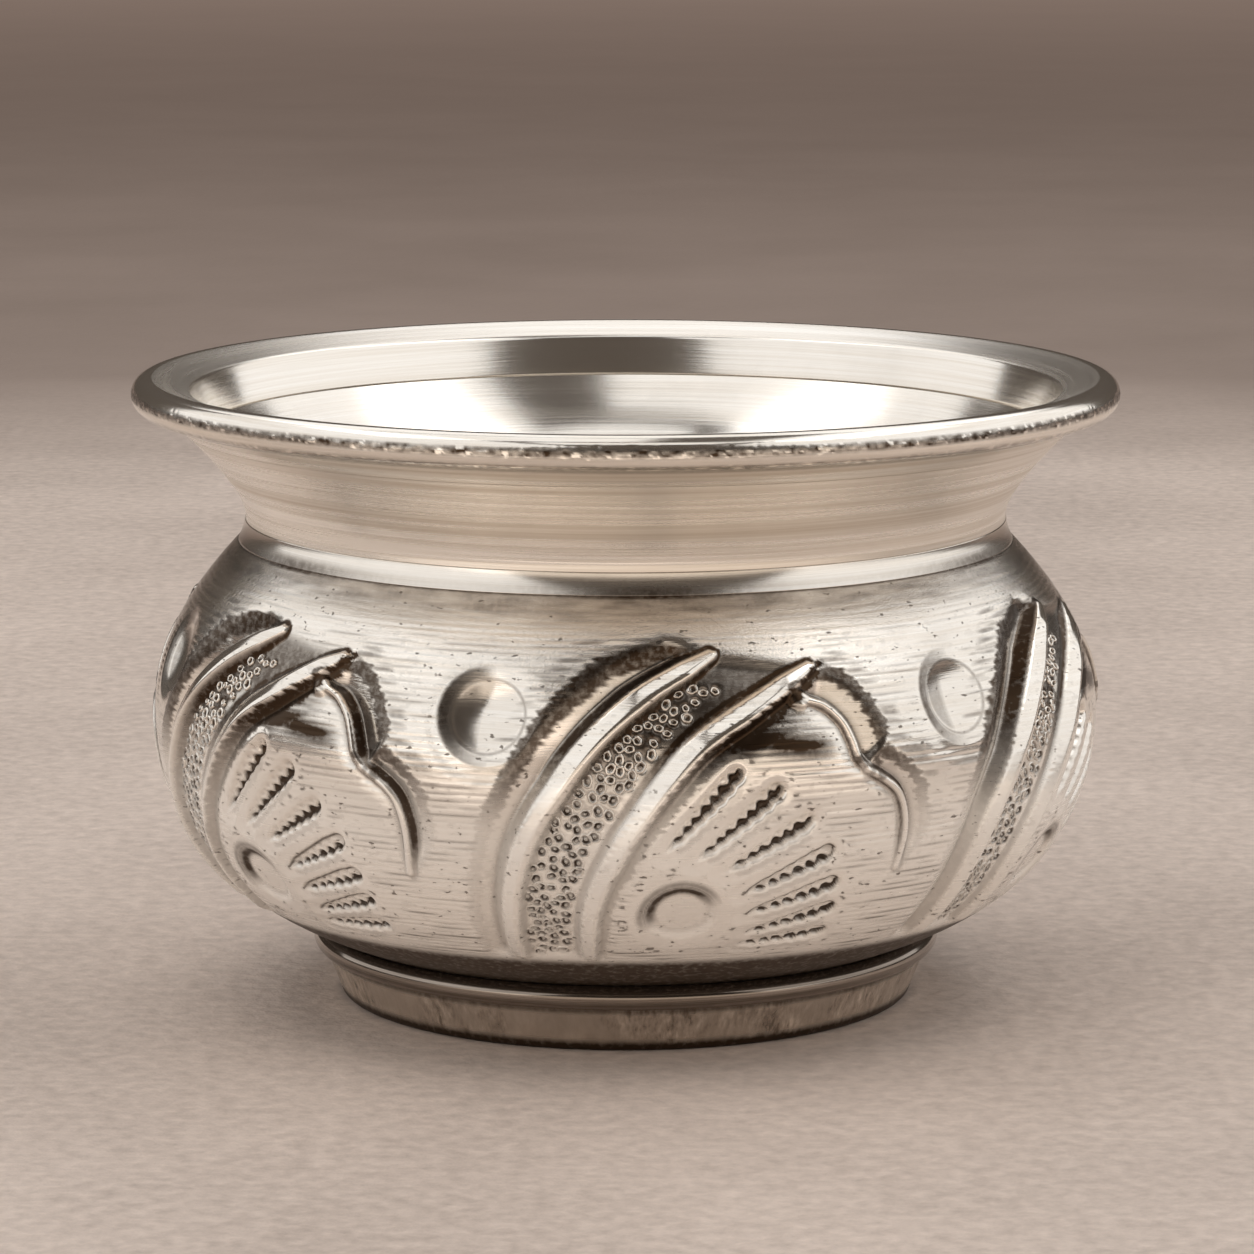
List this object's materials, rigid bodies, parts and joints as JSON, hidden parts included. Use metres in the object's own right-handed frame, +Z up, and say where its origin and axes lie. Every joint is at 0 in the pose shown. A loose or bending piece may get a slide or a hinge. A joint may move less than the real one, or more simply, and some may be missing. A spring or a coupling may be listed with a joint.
{
  "type": "offering bowl",
  "caption": "Small round-bellied white-metal offering bowl with an embossed swirling belly, flared neck, beaded rim and a low tapered foot ring; it holds offerings at an altar.",
  "frame": {"origin": "centre of the foot ring's underside, on the surface that the bowl stands on", "axes": "+Z up along the bowl's axis; -Y faces the viewer of the picture, with +X to the right"},
  "size_m": [0.07, 0.07, 0.0444],
  "materials": {
    "spun_metal": "satin",
    "cast_ring": "polished",
    "foot_strip": "satin",
    "foot_wire": "polished",
    "solder": "satin"
  },
  "bodies": {
    "root": {"belly_shell": "spun_metal", "neck_collar": "spun_metal", "rim_ring": "cast_ring", "foot_ring": "foot_strip", "foot_bead": "foot_wire", "neck_solder_seam": "solder", "rim_solder_seam": "solder", "foot_solder_seam": "solder"}
  },
  "joints": []
}
